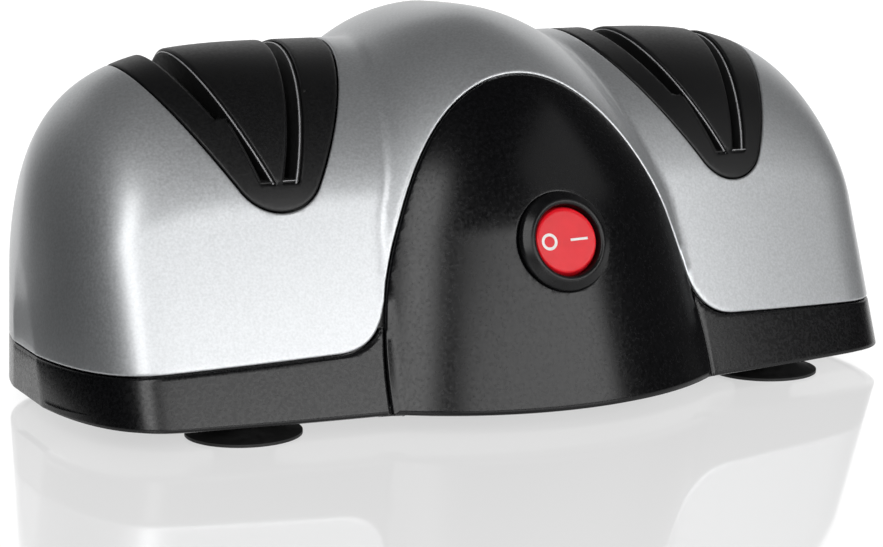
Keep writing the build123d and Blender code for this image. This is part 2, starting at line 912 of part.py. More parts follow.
block_screw_spots = (-lead_terminal_x, 0, lead_terminal_x)
with BuildPart() as terminal_block:
    with Locations((0, block_y, floor_top)):
        Box(block_length, block_width, block_height, align=(Align.CENTER, Align.CENTER, Align.MIN))
    with Locations(*[(x, block_y, floor_top + block_height) for x in block_screw_spots]):
        Cylinder(
            screw_radius,
            block_height / 2,
            align=(Align.CENTER, Align.CENTER, Align.MAX),
            mode=Mode.SUBTRACT,
        )
bench("terminal_block", terminal_block)


def lead(name, points):
    # Insulated wire along straight runs joined by bends.
    with BuildPart() as wire:
        with BuildLine() as route:
            FilletPolyline(*points, radius=lead_bend)
        with BuildSketch(Plane(origin=route.line @ 0, z_dir=route.line % 0)):
            Circle(lead_radius)
        sweep()
    bench(name, wire)


# Leads from the terminal block to the switch and the winding
block_front = block_y - block_width / 2
lead_rear = shaft_y + stack_half_width + lead_room
lead_front = shaft_y - stack_half_width - lead_room
lead_left = -(bracket_outer + bracket_foot + lead_side)
winding_side = coil_width / 2 + lead_radius
tab_tip = -switch_depth - tab_length - seam
left_tab = switch_plane.from_local_coords((-tab_offset, 0, tab_tip))
right_tab = switch_plane.from_local_coords((tab_offset, 0, tab_tip))
lead(
    "live_lead",
    [
        (-lead_terminal_x, block_front, lead_low),
        (-lead_terminal_x, lead_rear, lead_low),
        (lead_left, lead_rear, lead_low),
        (lead_left, lead_front, lead_low),
        (lead_left, lead_front, lead_middle),
        (-tab_offset, lead_front, lead_middle),
        left_tab,
    ],
)
lead(
    "neutral_lead",
    [
        (lead_terminal_x, block_front, lead_low),
        (lead_terminal_x, lead_rear, lead_low),
        (lead_terminal_x, lead_rear, lead_high),
        (winding_side, lead_rear, lead_high),
        (winding_side, shaft_y + bobbin_half - lead_lap, lead_high),
    ],
)
lead(
    "switch_lead",
    [
        right_tab,
        (tab_offset, lead_front, lead_middle),
        (tab_offset, lead_front, lead_high),
        (-winding_side, lead_front, lead_high),
        (-winding_side, shaft_y - bobbin_half + lead_lap, lead_high),
    ],
)
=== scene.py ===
# Electric knife sharpener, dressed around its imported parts.
# Shapes are worked out in millimetres and go into the meshes in metres.
import json

import bmesh
import bpy
import numpy as np
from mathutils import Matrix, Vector


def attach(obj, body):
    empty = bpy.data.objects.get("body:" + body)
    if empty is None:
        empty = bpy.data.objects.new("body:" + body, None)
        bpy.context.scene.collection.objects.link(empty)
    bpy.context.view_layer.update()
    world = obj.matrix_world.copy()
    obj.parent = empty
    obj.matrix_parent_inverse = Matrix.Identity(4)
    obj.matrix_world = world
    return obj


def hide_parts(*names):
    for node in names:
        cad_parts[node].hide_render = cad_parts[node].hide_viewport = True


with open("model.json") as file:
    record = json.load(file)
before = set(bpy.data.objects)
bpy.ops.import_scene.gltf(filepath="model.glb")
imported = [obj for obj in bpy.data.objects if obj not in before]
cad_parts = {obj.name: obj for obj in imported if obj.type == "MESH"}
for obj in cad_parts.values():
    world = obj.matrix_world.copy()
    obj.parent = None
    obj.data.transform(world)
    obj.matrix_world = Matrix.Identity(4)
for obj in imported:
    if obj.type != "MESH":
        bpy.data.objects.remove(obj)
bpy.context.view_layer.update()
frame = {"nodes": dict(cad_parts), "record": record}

nodes = frame["nodes"]
mm = 0.001
print("frame loaded with", len(nodes), "nodes")


def linearColour(hexText):
    # sRGB hex to linear, with alpha 1
    channels = [int(hexText[i:i + 2], 16) / 255 for i in (1, 3, 5)]
    return [c / 12.92 if c <= 0.04045 else ((c + 0.055) / 1.055) ** 2.4 for c in channels] + [1.0]


def addNode(tree, kind, inputs=None, **settings):
    # One node with its settings; a value that is a socket becomes a link
    node = tree.nodes.new("ShaderNode" + kind)
    for name, value in settings.items():
        setattr(node, name, value)
    for socket, value in (inputs or {}).items():
        if isinstance(value, bpy.types.NodeSocket):
            tree.links.new(value, node.inputs[socket])
        else:
            node.inputs[socket].default_value = value
    return node


def patternScale(sizeInMm):
    # Noise features are about half a unit wide at scale 1, and a metre is the unit here
    return 0.5 / (sizeInMm * mm)


# Finishes for the record's material slots, and a few more for the scene's own pieces: two tones mixed by a grain
# of that size in millimetres, roughness either side of its middle, and the grain's height as a share of full bump
finishes = {
    # Metallic lacquer under a clear coat on moulded ABS: a broad soft highlight, and crisp white rims
    "silver_abs": {"name": "silver lacquer on ABS", "dark": "#b4b6b8", "light": "#c6c8ca", "grain": 0.3,
                   "roughness": 0.45, "spread": 0.03, "relief": 0.04, "metallic": 0.82, "coat": 0.4},
    # ABS from a spark-eroded mould: an even fine grain that spreads the highlight
    "black_abs": {"name": "textured black ABS", "dark": "#060607", "light": "#0c0c0e", "grain": 0.4,
                  "roughness": 0.27, "spread": 0.05, "relief": 0.28, "specular": 0.38},
    # The same mould texture, polished a little, on the panel
    "panel_abs": {"name": "satin black ABS", "dark": "#050506", "light": "#0a0a0c", "grain": 0.4,
                  "roughness": 0.24, "spread": 0.05, "relief": 0.12, "specular": 0.3},
    # The same ABS from a blasted mould, on the inserts: dull, with a broad sheen towards its rims
    "insert_abs": {"name": "matt black ABS", "dark": "#060607", "light": "#0b0b0c", "grain": 0.35,
                   "roughness": 0.44, "spread": 0.05, "relief": 0.3, "specular": 0.42},
    # Inside of the slots: the same black ABS, painted darker as the shade in the slots
    "slot_wall": {"name": "shaded black ABS", "dark": "#040404", "light": "#070708", "grain": 0.8,
                  "roughness": 0.6, "spread": 0.05, "relief": 0.05},
    # The slots' edges that lead the blade in: black ABS, painted pale as a highlight along them
    "painted_edge_highlight": {"name": "pale ABS painted as edge highlight", "dark": "#8e8e90", "light": "#a0a0a2", "grain": 0.8,
                  "roughness": 0.2, "spread": 0.03, "relief": 0.0},
    # Nylon switch body, polished mould: smooth and fairly glossy
    "switch_black": {"name": "smooth black nylon", "dark": "#0c0c0d", "light": "#121213", "grain": 1.2,
                     "roughness": 0.28, "spread": 0.03, "relief": 0.03, "specular": 0.26},
    # Tinted polycarbonate: glossy, with light that sinks in a little
    "red_rocker": {"name": "red polycarbonate", "dark": "#d41220", "light": "#e01c2a", "grain": 2.5,
                   "roughness": 0.22, "spread": 0.03, "relief": 0.0, "scatter": 0.35, "specular": 0.22},
    # Moulded rubber: dull, with a slight bloom
    "black_rubber": {"name": "moulded black rubber", "dark": "#0d0d0d", "light": "#171717", "grain": 0.8,
                     "roughness": 0.62, "spread": 0.08, "relief": 0.15},
    "steel": {"name": "zinc plated steel", "dark": "#8f9194", "light": "#b3b4b6", "grain": 1.6,
              "roughness": 0.32, "spread": 0.08, "relief": 0.06, "metallic": 1.0},
    # Inside the casing
    "laminated_steel": {"name": "blued electrical steel sheets", "dark": "#3d4046", "light": "#62666c",
                        "grain": 0.9, "roughness": 0.42, "spread": 0.08, "relief": 0.1, "metallic": 1.0,
                        "sheet": 0.5},
    "copper_winding": {"name": "enamelled copper wire", "dark": "#8a3f1c", "light": "#b9612f", "grain": 1.2,
                       "roughness": 0.28, "spread": 0.06, "relief": 0.05, "metallic": 1.0, "sheet": 0.6},
    "bronze": {"name": "sintered bronze", "dark": "#8b6a3c", "light": "#b08a52", "grain": 0.5,
               "roughness": 0.38, "spread": 0.08, "relief": 0.15, "metallic": 1.0},
    "pale_nylon": {"name": "natural nylon", "dark": "#d6d2c4", "light": "#e6e3d8", "grain": 3.0,
                   "roughness": 0.42, "spread": 0.05, "relief": 0.04, "scatter": 0.15},
    "coarse_abrasive": {"name": "coarse bonded corundum", "dark": "#6b4a3a", "light": "#a37a62", "grain": 0.5,
                        "roughness": 0.85, "spread": 0.08, "relief": 0.8},
    "fine_abrasive": {"name": "fine bonded corundum", "dark": "#b9b5ae", "light": "#dedbd4", "grain": 0.25,
                      "roughness": 0.8, "spread": 0.08, "relief": 0.5},
    "ferrite": {"name": "sintered ferrite", "dark": "#1d1d1f", "light": "#2d2d30", "grain": 0.6,
                "roughness": 0.6, "spread": 0.08, "relief": 0.2},
    "lead_insulation": {"name": "blue extruded PVC", "dark": "#1b3f73", "light": "#24508c", "grain": 1.5,
                        "roughness": 0.4, "spread": 0.05, "relief": 0.03},
    # Pad printing on the rocker: matt and opaque
    "white_ink": {"name": "white printing ink", "dark": "#e2e2e0", "light": "#ededeb", "grain": 0.6,
                  "roughness": 0.5, "spread": 0.05, "relief": 0.05},
}

# Shared by all finishes: the noise between these two values fills the tones, lengths in millimetres
surface = {"low": 0.3, "high": 0.7, "detail": 2.0, "bump": 0.06, "coatRoughness": 0.15, "scatterDepth": 1.5}


def makeFinish(spec):
    # Sheets or wires, where a finish has them, darken the tone in bands along X of that pitch
    material = bpy.data.materials.new(spec["name"])
    material.use_nodes = True
    tree = material.node_tree
    shader = tree.nodes["Principled BSDF"]
    place = addNode(tree, "TexCoord").outputs["Object"]
    grain = addNode(tree, "TexNoise", {"Vector": place, "Scale": patternScale(spec["grain"]),
                                       "Detail": surface["detail"]})
    height = grain.outputs["Fac"]
    noise = {"Value": height, "From Min": surface["low"], "From Max": surface["high"]}
    tone = addNode(tree, "MapRange", noise).outputs[0]
    if "sheet" in spec:
        # A wave of scale 1 repeats every pi / 10
        bands = addNode(tree, "TexWave", {"Vector": place, "Scale": np.pi / 10 / (spec["sheet"] * mm)})
        tone = addNode(tree, "Math", {0: tone, 1: bands.outputs["Fac"]}, operation="MULTIPLY").outputs[0]
        height = bands.outputs["Fac"]
    tint = addNode(tree, "Mix", {"Factor": tone, 6: linearColour(spec["dark"]), 7: linearColour(spec["light"])},
                   data_type="RGBA")
    gloss = addNode(tree, "MapRange", {**noise, "To Min": spec["roughness"] - spec["spread"],
                                       "To Max": spec["roughness"] + spec["spread"]})
    tree.links.new(tint.outputs[2], shader.inputs["Base Color"])
    tree.links.new(gloss.outputs[0], shader.inputs["Roughness"])
    if spec["relief"]:
        bump = addNode(tree, "Bump", {"Height": height, "Strength": spec["relief"],
                                      "Distance": surface["bump"] * mm})
        tree.links.new(bump.outputs["Normal"], shader.inputs["Normal"])
    shader.inputs["Metallic"].default_value = spec.get("metallic", 0.0)
    shader.inputs["Specular IOR Level"].default_value = spec.get("specular", 0.5)
    shader.inputs["Coat Weight"].default_value = spec.get("coat", 0.0)
    shader.inputs["Coat Roughness"].default_value = surface["coatRoughness"]
    shader.inputs["Subsurface Weight"].default_value = spec.get("scatter", 0.0)
    shader.inputs["Subsurface Scale"].default_value = surface["scatterDepth"] * mm
    return material


materials = {slot: makeFinish(spec) for slot, spec in finishes.items()}
for subpart in frame["record"]["subparts"]:
    mesh = nodes[subpart["node"]].data
    mesh.materials.clear()
    mesh.materials.append(materials[subpart["material_slot"]])
print("finishes made", len(materials))

# Casing: two pods along X and a dome about Z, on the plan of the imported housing
casing = {
    "halfLength": 113.0, "endAngle": 84.0, "base": 5.4, "podCrest": 86.4, "podFront": 57.7, "podRear": 54.0,
    "bowRadius": 520.0, "frontLean": 20.0, "rearLean": 7.0, "crestOffset": 6.5, "cornerStart": 88.0,
    "cornerPower": 3.4, "rearCornerPower": 2.5, "crownStart": 40.0, "crownPower": 3.7, "shoulderShare": 0.58,
    "sidePull": 0.18, "crestPull": 0.43, "domeRadius": 70.5, "domeLean": 18.0, "domeShoulder": 45.0,
    "domeCrest": 94.0, "domeSidePull": 12.0, "domeCrestPull": 34.0, "domeBack": 8.5, "crease": 0.7,
    "middle": 2.0, "columns": 214, "rows": 184, "endRings": 9, "sectionSteps": 60, "domeSteps": 200,
    "halvings": 40,
}
outlines = {
    "seam": 0.3, "panelSeam": 0.12, "skirtMiddle": 19.4, "skirtEnd": 16.4, "panelHalfWidth": 43.6,
    "panelTop": 79.6, "podAxis": 61.7, "insertTip": 50.7, "insertTipRadius": 11.0, "insertFlare": 31.5,
}
# Blade slots: each leans away from the pod's axis, and the left one of a pair narrows below a step
slots = {
    "bottom": 57.0, "lean": 21.5, "island": 1.6, "width": 4.0, "step": 71.0, "narrow": 1.8,
    "narrowSlope": 0.12, "wide": 4.6, "wideSlope": 0.15,
}
farOff = 50.0  # a distance that stands for nowhere near


def bezier(t, a, b, c, d):
    # Cubic curve: (1-t)^3 a + 3 (1-t)^2 t b + 3 (1-t) t^2 c + t^3 d
    return (1 - t) ** 3 * a + 3 * (1 - t) ** 2 * t * b + 3 * (1 - t) * t ** 2 * c + t ** 3 * d


def podSection(x):
    # Section of the pods at each x: leaning sides, then two curves that meet level at the crest.
    # The plan and the crown fall towards the ends as superellipses.
    c = casing
    planRun = np.maximum(0, (abs(x) - c["cornerStart"]) / (c["halfLength"] - c["cornerStart"]))
    crownRun = np.maximum(0, (abs(x) - c["crownStart"]) / (c["halfLength"] - c["crownStart"]))
    planFall = (1 - planRun ** c["cornerPower"]) ** 0.5
    rearFall = (1 - planRun ** c["rearCornerPower"]) ** 0.5
    crownFall = (1 - crownRun ** c["crownPower"]) ** (1 / c["crownPower"])
    bow = x ** 2 / (2 * c["bowRadius"])
    front, rear = (c["podFront"] - bow) * planFall, (c["podRear"] - bow) * rearFall
    height = (c["podCrest"] - c["base"]) * crownFall
    rise, pull = c["shoulderShare"] * height, c["sidePull"] * height
    leanFront, leanRear = np.radians(c["frontLean"]), np.radians(c["rearLean"])
    crestY, crestZ = c["crestOffset"] * planFall, c["base"] + height
    frontTop, rearTop = rise * np.tan(leanFront) - front, rear - rise * np.tan(leanRear)
    top = c["base"] + rise
    t = np.linspace(0, 1, c["sectionSteps"])
    frontPull, rearPull = c["crestPull"] * (crestY - frontTop), c["crestPull"] * (rearTop - crestY)
    y = [
        frontTop * t - front * (1 - t),
        bezier(t, frontTop, frontTop + pull * np.sin(leanFront), crestY - frontPull, crestY),
        bezier(t, crestY, crestY + rearPull, rearTop - pull * np.sin(leanRear), rearTop),
        rearTop * (1 - t) + rear * t,
    ]
    z = [
        c["base"] + rise * t,
        bezier(t, top, top + pull * np.cos(leanFront), crestZ, crestZ),
        bezier(t, crestZ, crestZ, top + pull * np.cos(leanRear), top),
        top - rise * t,
    ]
    return np.concatenate(y, axis=1), np.concatenate(z, axis=1)


def domeProfile(z):
    # Radius of the dome at each height: a leaning line, then a curve that is level at the crest
    c = casing
    lean = np.radians(c["domeLean"])
    shoulder = c["domeRadius"] - (c["domeShoulder"] - c["base"]) * np.tan(lean)
    t = np.linspace(0, 1, c["domeSteps"])
    radius = bezier(t, shoulder, shoulder - c["domeSidePull"] * np.sin(lean), c["domeCrestPull"], 0)
    height = bezier(t, c["domeShoulder"], c["domeShoulder"] + c["domeSidePull"] * np.cos(lean),
                    c["domeCrest"], c["domeCrest"])
    return np.interp(z, np.append(c["base"], height), np.append(c["domeRadius"], radius))


def domeShift(z):
    # Above its shoulder the dome stretches to the rear: its front line stays and its crest lies further back
    run = np.clip((z - casing["domeShoulder"]) / (casing["domeCrest"] - casing["domeShoulder"]), 0, 1)
    return casing["domeBack"] * (3 * run ** 2 - 2 * run ** 3)


def podReach(x, angle):
    # Distance from the middle line of the base to the pods, along rays in the section at each x
    y, z = podSection(x[:, None])
    c = casing
    up, out = np.maximum(z - c["base"], 0), c["middle"] - y
    rayAngle, rayLength = np.arctan2(up, out), np.hypot(up, out)
    return np.array([np.interp(a, s, r) for a, s, r in zip(angle, rayAngle, rayLength)])


def domeReach(x, angle):
    # The same distance to the dome, by halving the interval
    c = casing
    low, high = np.zeros(angle.shape), np.full(angle.shape, 2 * c["domeCrest"])
    for step in range(c["halvings"]):
        reach = (low + high) / 2
        y, z = c["middle"] - reach * np.cos(angle), c["base"] + reach * np.sin(angle)
        radius, back = domeProfile(z), domeShift(z)
        inside = np.hypot(x[:, None] * (radius + back), (y - back) * radius) < radius * (radius + back)
        low, high = np.where(inside, reach, low), np.where(inside, high, reach)
    return low


def casingGrid():
    # Outer reach of pods and dome, with a soft crease: max(a, b) + (k - |a - b|)^2 / 4k near a = b.
    # The flat ends close on their middle in rings.
    c = casing
    sweep = np.radians(np.linspace(-c["endAngle"], c["endAngle"], c["columns"]))
    rings = c["endRings"]
    x = c["halfLength"] * np.sin(np.pad(sweep, rings, mode="edge"))
    share = np.ones(len(x))
    share[:rings], share[-rings:] = np.arange(rings) / rings, np.arange(rings)[::-1] / rings
    angle = np.tile(np.linspace(0, np.pi, c["rows"]), (len(x), 1))
    pods, dome = podReach(x, angle), domeReach(x, angle)
    near = np.maximum(0, c["crease"] - abs(pods - dome))
    reach = (np.maximum(pods, dome) + near ** 2 / (4 * c["crease"])) * share[:, None]
    y, z = c["middle"] - reach * np.cos(angle), c["base"] + reach * np.sin(angle)
    grid = np.stack([np.broadcast_to(x[:, None], y.shape), y, z], axis=-1)
    normal = np.cross(np.gradient(grid, axis=0), np.gradient(grid, axis=1))
    normal[:rings], normal[-rings:] = (-1, 0, 0), (1, 0, 0)
    normal /= np.linalg.norm(normal, axis=-1, keepdims=True)
    outward = np.sign((normal * (grid - [0, c["middle"], c["base"]])).sum(-1).mean())
    normal[rings:-rings] *= outward
    return grid, normal


def gridFaces(columns, rows, closed=False):
    # Quads of a grid of columns by rows, closed round the columns if asked
    index = np.arange(columns * rows).reshape(columns, rows)
    if closed:
        index = np.vstack([index, index[:1]])
    a, b, c, d = index[:-1, :-1], index[1:, :-1], index[1:, 1:], index[:-1, 1:]
    return np.stack([a, b, c, d], axis=-1).reshape(-1, 4)


def splitAt(columns, faces, values, level):
    # Cuts triangles along values = level and adds the crossing points, so that edges follow the line
    above = values > level
    count = above[faces].sum(1)
    whole = faces[(count == 0) | (count == 3)]
    cut = faces[(count == 1) | (count == 2)]
    if not len(cut):
        return columns, faces
    odd = above[cut] == (above[cut].sum(1) == 1)[:, None]
    turn = odd.argmax(1)[:, None]
    cut = np.take_along_axis(cut, (turn + [[0, 1, 2]]) % 3, axis=1)
    edges = np.sort(np.concatenate([cut[:, [0, 1]], cut[:, [0, 2]]]), axis=1)
    unique, place = np.unique(edges, axis=0, return_inverse=True)
    place = place.reshape(-1) + len(columns)
    share = (level - values[unique[:, 0]]) / (values[unique[:, 1]] - values[unique[:, 0]])
    added = columns[unique[:, 0]] + share[:, None] * (columns[unique[:, 1]] - columns[unique[:, 0]])
    first, second = place[:len(cut)], place[len(cut):]
    made = [
        np.stack([cut[:, 0], first, second], 1),
        np.stack([first, cut[:, 1], cut[:, 2]], 1),
        np.stack([first, cut[:, 2], second], 1),
    ]
    return np.vstack([columns, added]), np.vstack([whole] + made)


cutting = {"margin": 3.0, "sliver": 1e-4, "rounding": (1, 0.6, 0.3, 0.1, 0)}


def cutShell(inside, edge, sink=0.0, rounding=cutting["rounding"]):
    # The casing where inside(points) > 0, in millimetres, with its border rounded over the distance edge,
    # and all of it set in by the distance sink. The shares of that edge in rounding get a line of points.
    quads = gridFaces(*casingPoints.shape[:2])
    faces = np.vstack([quads[:, [0, 1, 2]], quads[:, [0, 2, 3]]])
    columns = np.hstack([casingPoints.reshape(-1, 3), casingNormals.reshape(-1, 3)])
    faces = faces[(inside(columns[:, :3])[faces] > -cutting["margin"]).any(1)]
    for share in rounding:
        columns, faces = splitAt(columns, faces, inside(columns[:, :3]), edge * share)
    value = inside(columns[:, :3])
    faces = faces[value[faces].mean(1) > cutting["sliver"]]
    used, faces = np.unique(faces, return_inverse=True)
    columns, value, faces = columns[used], np.clip(value[used], 0, edge), faces.reshape(-1, 3)
    dip = sink + edge - np.sqrt(edge ** 2 - (edge - value) ** 2)
    return columns[:, :3] - dip[:, None] * columns[:, 3:6], faces


def skirtLine(x):
    # Top of the skirt: level in the middle, then falling in a straight line to the ends
    o = outlines
    fall = (o["skirtMiddle"] - o["skirtEnd"]) / (casing["halfLength"] - o["panelHalfWidth"])
    return o["skirtMiddle"] - fall * np.maximum(0, abs(x) - o["panelHalfWidth"])


def outsidePanel(p):
    # Distance outside the panel's half ellipse, seen from the front
    halfWidth, rise, tiny = outlines["panelHalfWidth"], outlines["panelTop"] - casing["base"], 1e-9
    across, up = p[:, 0] / halfWidth, (p[:, 2] - casing["base"]) / rise
    size = np.hypot(across, up) + tiny
    slope = np.hypot(across / halfWidth, up / rise) / size + tiny
    return np.where(p[:, 1] < 0, (size - 1) / slope, farOff)


def outsideInsert(p, side):
    # Distance outside the rounded V: a wedge grown by the radius of its tip
    o = outlines
    flare = np.radians(o["insertFlare"])
    across = abs(p[:, 0] - side * o["podAxis"])
    up = p[:, 2] - o["insertTip"] - o["insertTipRadius"]
    along = across * np.sin(flare) + up * np.cos(flare)
    apart = across * np.cos(flare) - up * np.sin(flare)
    return np.where(along < 0, np.hypot(across, up), apart) - o["insertTipRadius"]


def slotEdges(lean, z):
    # Where a slot starts and ends, measured across from its island's middle plane at each height
    s = slots
    near = s["island"] / 2 + 0 * z
    below = s["narrow"] + s["narrowSlope"] * (s["step"] - z)
    above = s["wide"] + s["wideSlope"] * (z - s["step"])
    return near, near + (s["width"] if lean > 0 else np.where(z < s["step"], below, above))


def outsideSlots(p, side):
    # Distance outside the two leaning slots of an insert
    lean = np.radians(slots["lean"])
    result = np.full(len(p), farOff)
    for hand in (-1, 1):
        near, far = slotEdges(hand, p[:, 2])
        run = hand * (p[:, 0] - side * outlines["podAxis"]) - (p[:, 2] - slots["bottom"]) * np.tan(lean)
        within = np.minimum(run - near, far - run) * np.cos(lean)
        result = np.minimum(result, -np.minimum(within, p[:, 2] - slots["bottom"]))
    return result


# Round rocker switch, in a frame on the panel: across, up the panel, out of the panel
switch = {
    "height": 42.5, "flange": 11.3, "clearance": 0.25, "segments": 120,
    "bezel": [(11.3, -1.1), (11.3, 0.1), (11.24, 0.28), (11.05, 0.4), (9.75, 1.22), (9.5, 1.4), (9.3, 1.48),
              (9.1, 1.46), (8.95, 1.36), (8.88, 1.15), (8.85, 0.8), (8.85, -8.0)],
    "bezelWall": 0.5, "pivot": 2.6, "face": 4.0, "ball": 8.45, "tail": 5.0, "tilt": 8.0, "round": 0.5,
    "valley": 6.0, "polarSteps": 140, "faceRounds": 12, "level": 0.05, "ringPlace": -4.1, "ringRadius": 1.65,
    "ringStroke": 0.7, "ringSegments": 64, "barPlace": 3.3, "barSize": (4.2, 0.6), "barSteps": 12,
    "strokeSteps": 4, "ink": 0.05,
}
panelLean = np.radians(casing["domeLean"])
switchUp = np.array([0, np.sin(panelLean), np.cos(panelLean)])
switchOut = np.array([0, -np.cos(panelLean), np.sin(panelLean)])
switchOrigin = np.array([0, (switch["height"] - casing["base"]) * np.tan(panelLean) - casing["domeRadius"],
                         switch["height"]])


def fromSwitch(across, up, out):
    # From the switch's frame to the part's
    return switchOrigin + across[..., None] * [1, 0, 0] + up[..., None] * switchUp + out[..., None] * switchOut


def fromRocker(across, up, out):
    # From the rocker's own frame at its pivot, with its right side raised
    tilt = np.radians(switch["tilt"])
    turned = across * np.cos(tilt) - out * np.sin(tilt)
    raised = across * np.sin(tilt) + out * np.cos(tilt)
    return fromSwitch(turned, up, raised - switch["pivot"])


def outsideSwitch(p):
    # Distance outside the switch's recess, about its axis
    return np.hypot(p[:, 0], (p - switchOrigin) @ switchUp) - switch["flange"] - switch["clearance"]


def softMin(a, b, k):
    # Smaller of two values, with the corner rounded over k
    near = np.maximum(0, k - abs(a - b))
    return np.minimum(a, b) - near ** 2 / (4 * k)


casingPoints, casingNormals = casingGrid()
print("casing grid", casingPoints.shape)


mergeDistance = 0.002  # millimetres


def addPiece(name, points, faces, slot, replaced=(), wall=0.0, body="casing", finish=None):
    # A mesh in its place on its body, with its seams and poles merged; a wall gives an open skin its thickness
    mesh = bpy.data.meshes.new(name)
    mesh.from_pydata((points.reshape(-1, 3) * mm).tolist(), [], faces.tolist())
    closed = bmesh.new()
    closed.from_mesh(mesh)
    bmesh.ops.remove_doubles(closed, verts=closed.verts, dist=mergeDistance * mm)
    closed.to_mesh(mesh)
    closed.free()
    mesh.shade_smooth()
    mesh.materials.append(materials[finish or slot])
    piece = bpy.data.objects.new(name, mesh)
    bpy.context.scene.collection.objects.link(piece)
    if wall:
        solid = piece.modifiers.new("wall", "SOLIDIFY")
        solid.thickness = wall * mm
        solid.offset = -1.0
    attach(piece, body)
    if replaced:
        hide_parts(*replaced)
    print("piece", name, len(faces), "faces")


def joined(*patches):
    # Several patches of points and faces as one, with quads split where triangles are among them
    split = [np.vstack([f[:, [0, 1, 2]], f[:, [0, 2, 3]]]) if f.shape[1] == 4 else f for p, f in patches]
    starts = np.cumsum([0] + [p.size // 3 for p, f in patches])
    return (np.vstack([p.reshape(-1, 3) for p, f in patches]),
            np.vstack([f + start for f, start in zip(split, starts)]))


# Silver housing
housing = {"wall": 2.2, "edge": 0.5, "corner": 11.0}


def aboveSkirt(p):
    # Distance inside the housing's lower border, which turns from the skirt to the panel in a round corner
    return softMin(p[:, 2] - skirtLine(p[:, 0]) - outlines["seam"], outsidePanel(p) - outlines["seam"] / 2,
                   housing["corner"])


def insideHousing(p):
    inserts = np.minimum(outsideInsert(p, -1), outsideInsert(p, 1)) - outlines["seam"] / 2
    return np.minimum(aboveSkirt(p), inserts)


addPiece("housingShell", *cutShell(insideHousing, housing["edge"]), "silver_abs", ["upper_housing"],
         housing["wall"])

# Front panel
panel = {"wall": 2.2, "edge": 0.7}


def insidePanel(p):
    inside = np.minimum(-outsidePanel(p) - outlines["panelSeam"] / 2, outsideSwitch(p))
    return np.minimum(inside, p[:, 2] - casing["base"] + panel["edge"])


addPiece("panelSkin", *cutShell(insidePanel, panel["edge"]), "black_abs", ["front_panel"], panel["wall"],
         finish="panel_abs")

# Slot inserts
insert = {"wall": 2.2, "edge": 0.6}


def insideInsert(p, side):
    return np.minimum(-outsideInsert(p, side) - outlines["seam"] / 2, outsideSlots(p, side))


for side, hand in ((-1, "left"), (1, "right")):
    addPiece(f"{hand}InsertSkin", *cutShell(lambda p: insideInsert(p, side), insert["edge"]), "black_abs",
             [f"{hand}_slot_insert"], insert["wall"], finish="insert_abs")

# Guide liners inside the slots: a lip with a rounded edge below the skin, then a wall down into the pod
liner = {"wall": [(-0.4, 1.15), (0.05, 1.0), (0.25, 1.06), (0.36, 1.22), (0.4, 1.6), (0.4, 6.0), (0.4, 14.0)],
         "edge": [(0.26, 0.84), (0.36, 0.78), (0.46, 0.84), (0.48, 0.95)], "steps": 90, "thickness": 0.35,
         "edgeThickness": 0.12, "sweep": (30, 150), "curveSteps": 400, "curveRounds": 25, "floorDrop": 1.0,
         "floorOverlap": 0.2, "floorSteps": 8}


def slotCurve(side, hand, run):
    # The casing's line where a slot's plane meets it, from the slot's front end over the crest to its rear end
    lean = np.radians(slots["lean"])
    steps = liner["curveSteps"]
    angle = np.radians(np.linspace(*liner["sweep"], steps))
    x = np.full(steps, side * outlines["podAxis"])
    for step in range(liner["curveRounds"]):
        reach = podReach(x, angle[:, None])[:, 0]
        z = casing["base"] + reach * np.sin(angle)
        target = side * outlines["podAxis"] + hand * (run(z) + (z - slots["bottom"]) * np.tan(lean))
        x = (x + target) / 2
    y = casing["middle"] - reach * np.cos(angle)
    above = np.flatnonzero(z > slots["bottom"])
    fine = np.linspace(above[0] - 1, above[-1] + 1, liner["steps"])
    return np.interp(fine, np.arange(steps), y), np.interp(fine, np.arange(steps), z)


def slotWall(side, hand, run, inward, profile):
    # One wall: each point of the profile is carried along the slot's line, square to it in its plane
    lean = np.radians(slots["lean"])
    y, z = slotCurve(side, hand, run)
    dy, dz = np.gradient(y), np.gradient(z)
    length = np.hypot(dy, dz)
    shift, depth = np.array(profile).T
    wallY = y[:, None] + (dz / length)[:, None] * depth
    wallZ = np.maximum(z[:, None] - (dy / length)[:, None] * depth, slots["bottom"] - liner["floorDrop"])
    across = run(z)[:, None] + inward * shift + (wallZ - slots["bottom"]) * np.tan(lean)
    wallX = side * outlines["podAxis"] + hand * across
    points = np.stack([wallX, wallY, wallZ], axis=-1)
    faces = gridFaces(*wallX.shape)
    return points, faces if hand * inward > 0 else faces[:, ::-1]


def slotFloor(side, hand, end, profile):
    # The end of a slot at its bottom: the same profile, turned up, from one wall to the other
    s = slots
    lean = np.radians(s["lean"])
    near, far = slotEdges(hand, np.array(s["bottom"]))
    y, z = slotCurve(side, hand, lambda height: slotEdges(hand, height)[0])
    y = y[0] if end < 0 else y[-1]
    shift, depth = np.array(profile).T
    across = np.linspace(near - liner["floorOverlap"], far + liner["floorOverlap"], liner["floorSteps"])[:, None]
    wallZ = s["bottom"] + shift + 0 * across
    wallX = side * outlines["podAxis"] + hand * (across + shift * np.tan(lean))
    points = np.stack([wallX, y - end * depth + 0 * across, wallZ], axis=-1)
    faces = gridFaces(*wallX.shape)
    return points, faces if hand * end < 0 else faces[:, ::-1]


